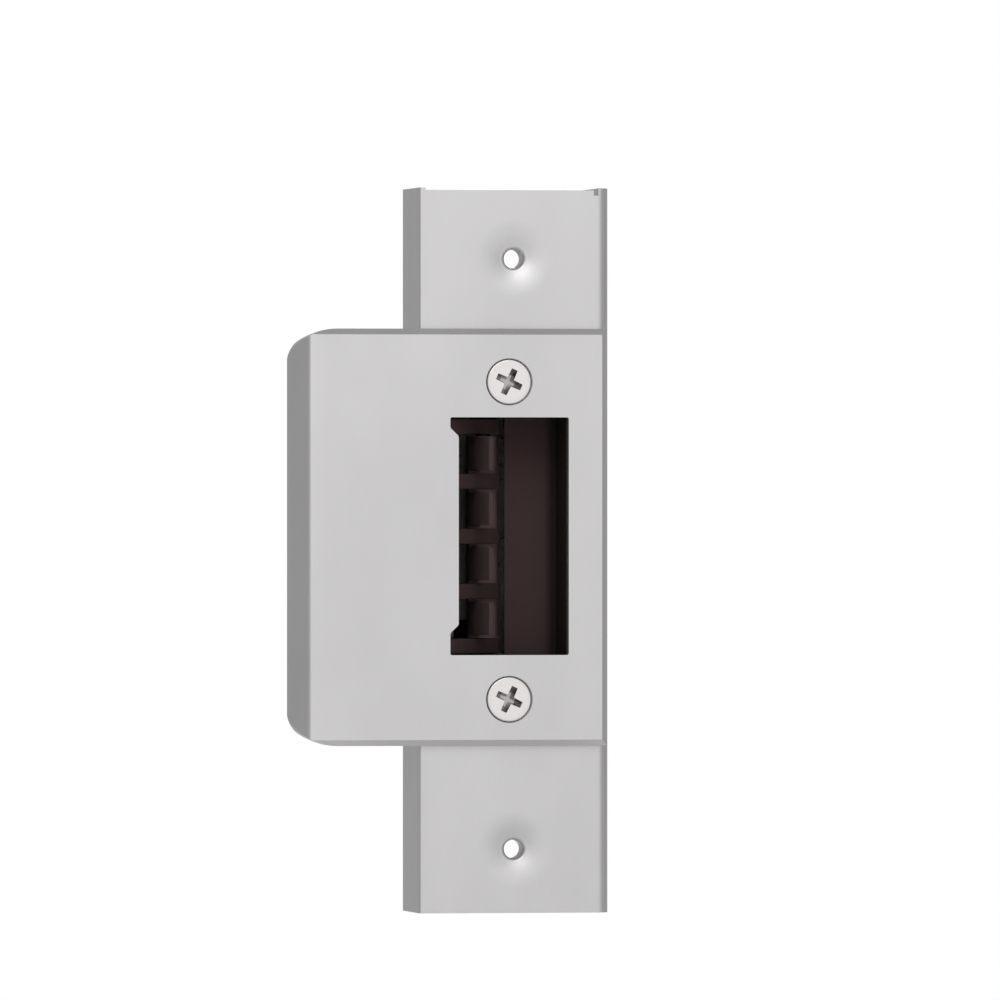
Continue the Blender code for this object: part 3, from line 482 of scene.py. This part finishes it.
def zinc_casting():
    """Grey die-cast zinc: mottled, with a rough cast skin."""
    finish = Finish("zinc_casting", (0.50, 0.485, 0.47), 1.0, 0.50)
    finish.tint(finish.noise(140, 5.0), 0.82, 1.10)
    finish.roughen(finish.noise(420, 4.0), 0.10)
    finish.bump(finish.noise(1500, 4.0), 0.00002, 0.6)
    return finish


def plated_steel():
    """Zinc-plated steel: a faint warm bloom in patches."""
    finish = Finish("plated_steel", (0.63, 0.61, 0.55), 1.0, 0.33)
    finish.tint(finish.noise(110, 4.0), 0.86, 1.06)
    finish.roughen(finish.noise(700, 3.0), 0.07)
    finish.bump(finish.noise(2400, 3.0), 0.000006, 0.5)
    return finish


def plain(name, colour, metallic, roughness, mottle, relief):
    """A moulded or drawn finish with some mottling and relief."""
    finish = Finish(name, colour, metallic, roughness)
    finish.tint(finish.noise(260, 3.0), 1 - mottle, 1 + mottle)
    finish.roughen(finish.noise(900, 3.0), 0.06)
    finish.bump(finish.noise(2600, 3.0), relief * MM, 0.6)
    return finish


def copper_wire():
    """Enamelled copper: the windings show as fine grooves round the coil."""
    finish = Finish("copper_wire", (0.62, 0.24, 0.10), 1.0, 0.32)
    wave = finish.nodes.new("ShaderNodeTexWave")
    wave.bands_direction = "Z"
    wave.inputs["Scale"].default_value = 900
    wave.inputs["Distortion"].default_value = 0.6
    finish.links.new(finish.position, wave.inputs["Vector"])
    finish.tint(wave.outputs["Fac"], 0.75, 1.1)
    finish.bump(wave.outputs["Fac"], 0.00006, 0.8)
    return finish


# ---------------------------------------------------------------- refined pieces


def millimetres(node):
    """A CAD node's lowest and highest corner in millimetres."""
    low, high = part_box(node)
    return low / MM, high / MM


def channel_section(half, back):
    """The channel's U-shaped section, with smooth bends outside and inside."""
    inner = half - SHEET
    left = LEFT_BEND_RADIUS
    right = RIGHT_BEND_RADIUS
    tight = INNER_BEND_RADIUS
    outline = arc((-inner + tight, tight), tight, tight, 270, 180, 4)
    outline += [(-inner, back), (-half, back)]
    outline += arc((-half + left, -SHEET + left), left, left, 180, 270, 12)
    outline += arc((half - right, -SHEET + right), right, right, 270, 360, 12)
    outline += [(half, back), (inner, back)]
    outline += arc((inner - tight, tight), tight, tight, 0, -90, 4)
    return outline


def tab_hole_profile():
    """A tab hole from its dimple's rim in front, through its bore, to its collar's foot."""
    front = -SHEET
    profile = []
    for step in range(DIMPLE_STEPS + 1):
        t = step / DIMPLE_STEPS
        radius = DIMPLE_RADIUS + (THROAT_RADIUS - DIMPLE_RADIUS) * t
        profile.append((radius, front + DIMPLE_DEPTH * t**DIMPLE_POWER))
    throat_centre = (THROAT_RADIUS, front + DIMPLE_DEPTH + THROAT_ROUND)
    throat_width = THROAT_RADIUS - TAB_HOLE_RADIUS
    profile += arc(throat_centre, throat_width, THROAT_ROUND, 270, 180, 6)[1:]
    rim_centre = ((TAB_HOLE_RADIUS + COLLAR_RADIUS) / 2, COLLAR_END - COLLAR_RIM)
    rim_width = (COLLAR_RADIUS - TAB_HOLE_RADIUS) / 2
    profile += arc(rim_centre, rim_width, COLLAR_RIM, 180, 0, 8)
    foot_centre = (COLLAR_RADIUS + COLLAR_FOOT, COLLAR_FOOT)
    profile += arc(foot_centre, COLLAR_FOOT, COLLAR_FOOT, 180, 270, 6)
    profile.append((DIMPLE_RADIUS, 0))
    return profile


def trim_outline(top):
    """What is cut from the web's top edge: a thin strip with a bend relief at its right."""
    return [
        (TRIM_LEFT, top - TRIM),
        (RELIEF_X[0], top - TRIM),
        (RELIEF_X[0], top - RELIEF_DEPTH),
        (RELIEF_X[1], top - RELIEF_DEPTH),
        (RELIEF_X[1], top + CUT),
        (TRIM_LEFT, top + CUT),
    ]


def graft(piece, patch, centre, radius):
    """Replace the wall of a plain round hole with a formed patch of the same outline."""
    bm = bmesh.new()
    bm.from_mesh(piece.data)
    hole_wall = []
    for face in bm.faces:
        middle = face.calc_center_median() / MM
        off_axis = Vector((middle.x - centre[0], middle.z - centre[1])).length
        if abs(face.normal.y) < 0.1 and abs(off_axis - radius) < 0.1:
            hole_wall.append(face)
    bmesh.ops.delete(bm, geom=hole_wall, context="FACES")
    bm.from_mesh(patch.data)
    bmesh.ops.remove_doubles(bm, verts=bm.verts[:], dist=0.005 * MM)
    bmesh.ops.recalc_face_normals(bm, faces=bm.faces[:])
    bm.to_mesh(piece.data)
    bm.free()
    bpy.data.objects.remove(patch, do_unlink=True)


def cylinder(name, axis, centre, radius, low, high):
    return turned(name, axis, centre, [(0, low), (radius, low), (radius, high), (0, high)])


def make_channel(satin):
    low, high = millimetres("mounting_channel")
    channel = prism("channel_sheet", "Z", channel_section(high.x, high.y), low.z, high.z)
    tabs = TAB_HOLE_HEIGHTS
    sheet_range = (-SHEET - CUT, CUT)
    cuts = [box("window", CHANNEL_WINDOW[0], sheet_range, CHANNEL_WINDOW[1])]
    for side, z in tabs.items():
        cuts.append(cylinder("tab_way_" + side, "Y", (0, z), DIMPLE_RADIUS, *sheet_range))
        way = screw_centre(side)
        cuts.append(cylinder("screw_way_" + side, "Y", way, SHANK_RADIUS + 0.3, *sheet_range))
    combine(channel, cuts, "DIFFERENCE")
    settle(channel)
    for side, z in tabs.items():
        patch = turned("tab_hole_" + side, "Y", (0, z), tab_hole_profile())
        graft(channel, patch, (0, z), DIMPLE_RADIUS)
    round_edges(channel, 0.08, 2)
    settle(channel)
    combine(channel, [prism("trim", "Y", trim_outline(high.z), *sheet_range)], "DIFFERENCE")
    shade(channel)
    satin.put_on(channel)
    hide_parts("mounting_channel")
    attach(channel, "strike_body")


def screw_centre(side):
    """A face screw's X and Z, from its CAD node."""
    low, high = millimetres("face_screw_" + side)
    return ((low.x + high.x) / 2, (low.z + high.z) / 2)


def lip_profile(front, left):
    """The lip plate's surface from its flat face round to the flat back.

    Each entry is a point and the way it moves when an end chamfer draws the front back.
    """
    heading = ROLL_ANGLE
    crease_x = LIP_BEND_LINE + CREASE_RADIUS * math.tan((LIP_ANGLE + heading) / 2)
    roll_centre = Vector((crease_x + ROLL_RADIUS * math.sin(heading), front + ROLL_RADIUS))
    profile = []
    for step in range(ROLL_STEPS + 1):
        angle = heading * step / ROLL_STEPS
        outward = Vector((-math.sin(angle), -math.cos(angle)))
        profile.append((roll_centre + outward * ROLL_RADIUS, -outward))
    crease_centre = profile[-1][0] + profile[-1][1] * CREASE_RADIUS
    for step in range(1, CREASE_STEPS + 1):
        angle = heading + (LIP_ANGLE - heading) * step / CREASE_STEPS
        outward = Vector((-math.sin(angle), -math.cos(angle)))
        profile.append((crease_centre + outward * CREASE_RADIUS, -outward))
    along = Vector((-math.cos(LIP_ANGLE), math.sin(LIP_ANGLE)))
    inward = Vector((math.sin(LIP_ANGLE), math.cos(LIP_ANGLE)))
    start = profile[-1][0]
    flat_end_x = left + LIP_EDGE_RADIUS * (1 - inward.x)
    flat_length = (start.x - flat_end_x) / math.cos(LIP_ANGLE)
    flat_end = start + along * flat_length
    for step in range(LIP_EDGE_STEPS + 1):
        angle = math.pi / 2 * step / LIP_EDGE_STEPS
        reach = LIP_EDGE_RADIUS * math.sin(angle)
        depth = LIP_EDGE_RADIUS * (1 - math.cos(angle))
        profile.append(lip_point(flat_end, along, inward, reach, depth))
    for reach, depth in (
        (LIP_EDGE_RADIUS, PLATE_THICKNESS - LIP_EDGE_CHAMFER),
        (LIP_EDGE_RADIUS - LIP_EDGE_CHAMFER, PLATE_THICKNESS),
    ):
        profile.append(lip_point(flat_end, along, inward, reach, depth))
    inner_point, still = lip_point(flat_end, along, inward, 0, PLATE_THICKNESS)
    back = front + PLATE_THICKNESS
    corner = inner_point - along * ((inner_point.y - back) / math.sin(LIP_ANGLE))
    for t in INNER_ROUND_STEPS:
        point = corner + along * INNER_ROUND * (1 - t) ** 2 + Vector((INNER_ROUND * t**2, 0))
        profile.append((point, still))
    return profile


def lip_point(flat_end, along, inward, reach, depth):
    """A point near the lip's end, so far past its flat and so deep in its thickness."""
    point = flat_end + along * reach + inward * depth
    return (point, inward * (1 - depth / PLATE_THICKNESS))


def lip_section(profile, front, right, inset):
    """The plate's closed section. Inset draws its front back for the end chamfers."""
    back = front + PLATE_THICKNESS
    outline = [
        (right, back),
        (right, front + max(SIDE_CHAMFER, inset)),
        (right - max(SIDE_CHAMFER - inset, 0.01), front + inset),
    ]
    for point, shift in profile:
        outline.append(tuple(point + shift * inset))
    return outline


def pocket_outline():
    """The latch opening: a rectangle with a tongue at its left edge."""
    outline = [
        (POCKET_RIGHT, POCKET_BOTTOM),
        (POCKET_RIGHT, POCKET_TOP),
        (POCKET_LEFT, POCKET_TOP),
        (POCKET_LEFT, TONGUE_TOP + TONGUE_CHAMFER),
        (TONGUE_EDGE, TONGUE_TOP),
        (TONGUE_EDGE, TONGUE_BOTTOM),
        (POCKET_LEFT, TONGUE_BOTTOM - TONGUE_CHAMFER),
        (POCKET_LEFT, POCKET_BOTTOM),
    ]
    return rounded(outline, POCKET_CORNER)


def lip_corner_cutter(side, edge, front):
    """A cutter that rounds one corner of the lip, as seen from the front."""
    sign = 1 if side == "upper" else -1
    centre = (LIP_CORNER_START, edge - sign * LIP_CORNER_HEIGHT)
    outline = arc(centre, LIP_CORNER_WIDTH, sign * LIP_CORNER_HEIGHT, 90, 180, 24)
    outline += [
        (LIP_CORNER_START - LIP_CORNER_WIDTH - 5, centre[1]),
        (LIP_CORNER_START - LIP_CORNER_WIDTH - 5, edge + sign * 3),
        (LIP_CORNER_START, edge + sign * 3),
    ]
    return prism("lip_corner_" + side, "Y", outline, front - 2, 8)


def make_lip_plate(satin):
    low, high = millimetres("lip_plate")
    front = low.y
    profile = lip_profile(front, low.x)
    steps = ((0, END_CHAMFER), (END_CHAMFER - SIDE_CHAMFER, SIDE_CHAMFER), (END_CHAMFER, 0))
    levels = []
    for rise, inset in steps:
        levels.append((lip_section(profile, front, high.x, inset), low.z + rise))
    for rise, inset in reversed(steps):
        levels.append((lip_section(profile, front, high.x, inset), high.z - rise))
    plate = loft("lip_plate_sheet", "Z", levels)
    back = front + PLATE_THICKNESS
    pocket = prism("pocket", "Y", pocket_outline(), front - CUT, back + CUT)
    corners = [lip_corner_cutter("upper", high.z, front), lip_corner_cutter("lower", low.z, front)]
    combine(plate, corners + [pocket], "DIFFERENCE")
    for side in ("upper", "lower"):
        head = HEAD_RADIUS + SCREW_CLEARANCE
        shank = SHANK_RADIUS + SCREW_CLEARANCE
        cone = front + SINK_WALL
        profile = [(0, front - CUT), (head, front - CUT), (head, cone)]
        profile += [(shank, cone + head - shank), (shank, back + CUT), (0, back + CUT)]
        sink = turned("sink_" + side, "Y", screw_centre(side), profile)
        combine(plate, [sink], "DIFFERENCE")
    settle(plate)
    round_edges(plate, 0.09)
    shade(plate)
    satin.put_on(plate)
    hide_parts("lip_plate")
    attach(plate, "strike_body")


def cross_outline(centre, reach, half_width, waist, angle):
    """A cross recess, its arms tapering from a wider waist to their ends."""
    quarter = [(waist, waist), (half_width, reach), (-half_width, reach)]
    points = []
    for n in range(4):
        turn = angle + n * math.pi / 2
        for x, z in quarter:
            along_x = x * math.cos(turn) - z * math.sin(turn)
            along_z = x * math.sin(turn) + z * math.cos(turn)
            points.append((centre[0] + along_x, centre[1] + along_z))
    return points


def make_face_screws(bright):
    for side in ("upper", "lower"):
        low, high = millimetres("face_screw_" + side)
        centre = screw_centre(side)
        top = low.y
        cone_end = top + HEAD_RADIUS - SHANK_RADIUS
        rim = arc((HEAD_RADIUS - HEAD_RIM, top + 0.27), HEAD_RIM, HEAD_RIM, 270, 360, 5)
        profile = [(0, top), (HEAD_RADIUS - 0.8, top + 0.01)] + rim
        profile += [(HEAD_RADIUS - 0.12, top + 0.45), (SHANK_RADIUS, cone_end)]
        profile += thread_profile(cone_end + 0.4, high.y - 0.5)
        profile += [(SHANK_RADIUS - 0.6, high.y), (0, high.y)]
        screw = turned("screw_" + side, "Y", centre, profile)
        mouth = cross_outline(centre, *RECESS_MOUTH, RECESS_TURN)
        bottom = cross_outline(centre, *RECESS_BOTTOM, RECESS_TURN)
        levels = (top - CUT, top + RECESS_START, top + RECESS_DEPTH)
        sections = list(zip((mouth, mouth, bottom), levels))
        combine(screw, [loft("recess_" + side, "Y", sections)], "DIFFERENCE")
        settle(screw)
        round_edges(screw, 0.05, 2, 32)
        shade(screw)
        bright.put_on(screw)
        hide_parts("face_screw_" + side)
        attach(screw, "strike_body")


def thread_profile(start, end):
    """Rings that stand in for a thread, as (radius, height) points."""
    points = []
    turns = int((end - start) / THREAD_PITCH)
    for n in range(turns):
        root = start + n * THREAD_PITCH
        points.append((SHANK_RADIUS - THREAD_DEPTH, root))
        points.append((SHANK_RADIUS, root + THREAD_PITCH * 0.5))
    points.append((SHANK_RADIUS - THREAD_DEPTH, start + turns * THREAD_PITCH))
    return points


def spring_points(low, high):
    """The middle of a compression spring's wire, its end turns wound closer than the rest."""
    radius = (high.x - low.x) / 2 - SPRING_WIRE
    middle = ((low.x + high.x) / 2, (low.y + high.y) / 2)
    bottom = low.z + SPRING_WIRE
    top = high.z - SPRING_WIRE
    pitch = (top - bottom - 2 * SPRING_END_PITCH) / (SPRING_TURNS - 2)
    points = []
    for step in range(SPRING_TURNS * SPRING_STEPS + 1):
        turn = step / SPRING_STEPS
        height = SPRING_END_PITCH * min(turn, 1) + pitch * min(max(turn - 1, 0), SPRING_TURNS - 2)
        height += SPRING_END_PITCH * max(turn - SPRING_TURNS + 1, 0)
        outward = Vector((math.cos(math.tau * turn), math.sin(math.tau * turn), 0))
        centre = Vector((*middle, bottom + height)) + outward * radius
        points.append((centre, outward))
    return points


def make_plunger_spring(steel):
    """The plunger's spring: a coil of round wire inside the CAD spring's box, its end turns wound
    closer.
    """
    low, high = millimetres("plunger_spring")
    bm = bmesh.new()
    rings = []
    for centre, outward in spring_points(low, high):
        ring = []
        for n in range(SPRING_SIDES):
            angle = math.tau * n / SPRING_SIDES
            offset = outward * math.cos(angle) + Vector((0, 0, 1)) * math.sin(angle)
            ring.append(bm.verts.new((centre + offset * SPRING_WIRE) * MM))
        rings.append(ring)
    for lower, upper in zip(rings, rings[1:]):
        for n in range(SPRING_SIDES):
            following = (n + 1) % SPRING_SIDES
            bm.faces.new((lower[n], lower[following], upper[following], upper[n]))
    bm.faces.new(rings[0])
    bm.faces.new(rings[-1])
    spring = new_piece("plunger_coil_spring", bm)
    shade(spring)
    steel.put_on(spring)
    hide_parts("plunger_spring")
    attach(spring, "strike_body")
    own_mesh(spring)


# ---------------------------------------------------------------- CAD nodes


def finish_nodes(nodes, spring_steel):
    """Give every carried-over node a finish, and soft edges unless it is a spring."""
    finishes = {
        "dark_bronze": dark_bronze(),
        "zinc_casting": zinc_casting(),
        "plated_steel": plated_steel(),
        "spring_steel": spring_steel,
        "rubber_black": plain("rubber_black", (0.02, 0.02, 0.021), 0.0, 0.75, 0.25, 0.02),
        "nylon_white": plain("nylon_white", (0.72, 0.70, 0.62), 0.0, 0.45, 0.04, 0.006),
        "board_green": plain("board_green", (0.03, 0.15, 0.06), 0.0, 0.35, 0.20, 0.010),
        "diode_black": plain("diode_black", (0.03, 0.03, 0.032), 0.0, 0.40, 0.15, 0.006),
        "terminal_green": plain("terminal_green", (0.04, 0.27, 0.10), 0.0, 0.42, 0.10, 0.010),
        "brass": plain("brass", (0.74, 0.55, 0.24), 1.0, 0.28, 0.08, 0.004),
        "copper_wire": copper_wire(),
    }
    # Painted light: the keeper gets a base colour over three times that of the other bronze parts.
    # Its colour runs from 0.3 of that at the tip in front up to all of it at the hub, deep in the
    # pocket where shade falls
    keeper_painted_light = ("Y", KEEPER_TIP, KEEPER_HUB, 0.3, 1.0)
    # Painted shade: the liner's colour falls to 0.3 of its base across the strip from the floor's
    # edge to the pocket's wall
    liner_painted_shade = ("X", LINER_FLOOR_EDGE, LINER_WALL, 1.0, 0.3)
    own_finishes = {
        "ramp_block": dark_bronze("ramp_bronze", (0.054, 0.035, 0.034)),
        "keeper": dark_bronze("keeper_bronze_painted_light", (0.20, 0.135, 0.13), keeper_painted_light),
        "pocket_liner": dark_bronze("liner_bronze_painted_shade", (0.064, 0.042, 0.041), liner_painted_shade),
        "keeper_pivot_pin": plain("black_pin", (0.07, 0.05, 0.048), 1.0, 0.55, 0.06, 0.004),
    }
    edge_widths = {
        "housing": 0.35,
        "rear_cover": 0.25,
        "pocket_liner": 0.15,
        "ramp_block": 0.20,
        "keeper": 0.20,
        "solenoid_frame": 0.20,
        "terminal_block": 0.20,
        "circuit_board": 0.08,
        "keeper_bumper": 0.25,
    }
    replaced = {
        "mounting_channel",
        "lip_plate",
        "face_screw_upper",
        "face_screw_lower",
        "plunger_spring",
    }
    for subpart in frame["record"]["subparts"]:
        name = subpart["node"]
        if name in replaced:
            continue
        node = nodes[name]
        own_finishes.get(name, finishes[subpart["material_slot"]]).put_on(node)
        if "spring" not in name:
            soften_node(node, edge_widths.get(name, 0.08))


# ---------------------------------------------------------------- stage, light, camera


def make_floor():
    low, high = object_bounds()
    bm = bmesh.new()
    bmesh.ops.create_grid(bm, x_segments=1, y_segments=1, size=FLOOR_SIZE / 2)
    floor = new_piece("floor", bm)
    floor.location = (0, 0, low.z - FLOOR_DROP)
    finish = Finish("floor", (0.80, 0.80, 0.79), 0.0, 0.7)
    finish.tint(finish.noise(6, 3.0), 0.98, 1.02)
    finish.put_on(floor)


def area_light(name, location, target, size, watts):
    data = bpy.data.lights.new(name, "AREA")
    data.shape = "RECTANGLE"
    data.size, data.size_y = size
    data.energy = watts
    lamp = bpy.data.objects.new(name, data)
    lamp.location = location
    direction = Vector(target) - Vector(location)
    lamp.rotation_euler = direction.to_track_quat("-Z", "Y").to_euler()
    bpy.context.scene.collection.objects.link(lamp)


def light_edge(nodes, links, direction, normal):
    """A value that rises from 0 to 1 where a direction crosses a plane through the middle."""
    dot = nodes.new("ShaderNodeVectorMath")
    dot.operation = "DOT_PRODUCT"
    dot.inputs[1].default_value = normal
    links.new(direction, dot.inputs[0])
    step = nodes.new("ShaderNodeMapRange")
    step.interpolation_type = "SMOOTHSTEP"
    step.inputs["From Min"].default_value = -LIGHT_SOFTNESS
    step.inputs["From Max"].default_value = LIGHT_SOFTNESS
    links.new(dot.outputs["Value"], step.inputs["Value"])
    return step.outputs["Result"]


def multiply(nodes, links, first, second):
    node = nodes.new("ShaderNodeMath")
    node.operation = "MULTIPLY"
    links.new(first, node.inputs[0])
    links.new(second, node.inputs[1])
    return node.outputs["Value"]


def make_world():
    """A white backdrop, and a studio that is bright in front and greyer to the sides."""
    world = bpy.data.worlds.new("studio")
    bpy.context.scene.world = world
    world.use_nodes = True
    nodes = world.node_tree.nodes
    links = world.node_tree.links
    direction = nodes.new("ShaderNodeTexCoord").outputs["Generated"]
    normals = (
        (math.cos(BRIGHT_FROM), math.sin(BRIGHT_FROM), 0),
        (-math.cos(BRIGHT_TO), -math.sin(BRIGHT_TO), 0),
        (0, -math.sin(BRIGHT_ABOVE), -math.cos(BRIGHT_ABOVE)),
        (0, -math.sin(BRIGHT_BELOW), math.cos(BRIGHT_BELOW)),
    )
    bright = None
    for normal in normals:
        edge = light_edge(nodes, links, direction, normal)
        bright = edge if bright is None else multiply(nodes, links, bright, edge)
    level = nodes.new("ShaderNodeMapRange")
    level.inputs["To Min"].default_value = SIDE_LIGHT
    level.inputs["To Max"].default_value = FRONT_LIGHT
    links.new(bright, level.inputs["Value"])
    studio = nodes["Background"]
    links.new(level.outputs["Result"], studio.inputs["Color"])
    backdrop = nodes.new("ShaderNodeBackground")
    backdrop.inputs["Color"].default_value = (BACKGROUND, BACKGROUND, BACKGROUND, 1)
    mix = nodes.new("ShaderNodeMixShader")
    path = nodes.new("ShaderNodeLightPath")
    links.new(path.outputs["Is Camera Ray"], mix.inputs["Fac"])
    links.new(studio.outputs["Background"], mix.inputs[1])
    links.new(backdrop.outputs["Background"], mix.inputs[2])
    links.new(mix.outputs["Shader"], nodes["World Output"].inputs["Surface"])


def make_camera():
    data = bpy.data.cameras.new("camera")
    data.lens = CAMERA_LENS
    data.sensor_width = CAMERA_SENSOR
    data.clip_start = 0.01
    data.clip_end = 20
    camera = bpy.data.objects.new("camera", data)
    distance = VIEW_WIDTH * CAMERA_LENS / CAMERA_SENSOR
    back = Vector((math.sin(CAMERA_AZIMUTH), -math.cos(CAMERA_AZIMUTH), 0))
    camera.location = CAMERA_TARGET + back * distance
    camera.rotation_euler = (-back).to_track_quat("-Z", "Y").to_euler()
    bpy.context.scene.collection.objects.link(camera)
    bpy.context.scene.camera = camera


with open("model.json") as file:
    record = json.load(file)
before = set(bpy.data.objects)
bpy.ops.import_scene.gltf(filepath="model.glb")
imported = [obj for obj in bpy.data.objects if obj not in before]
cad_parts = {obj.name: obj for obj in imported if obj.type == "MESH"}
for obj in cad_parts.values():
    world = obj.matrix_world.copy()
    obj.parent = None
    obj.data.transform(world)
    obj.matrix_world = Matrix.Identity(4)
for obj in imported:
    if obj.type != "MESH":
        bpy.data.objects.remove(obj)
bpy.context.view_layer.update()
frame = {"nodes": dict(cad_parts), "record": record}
bpy.context.scene.view_settings.view_transform = "Standard"
make_camera()
satin = satin_steel()
make_channel(satin)
make_lip_plate(satin)
make_face_screws(screw_steel())
# Painted shade: the springs are made nearly black, far darker than their steel, so that where they
# show through the pocket's gaps they read as shade
spring_steel = plain("spring_steel", (0.16, 0.16, 0.165), 1.0, 0.38, 0.06, 0.004)
make_plunger_spring(spring_steel)
finish_nodes(frame["nodes"], spring_steel)
make_world()
make_floor()
for lamp in LAMPS:
    area_light(*lamp)
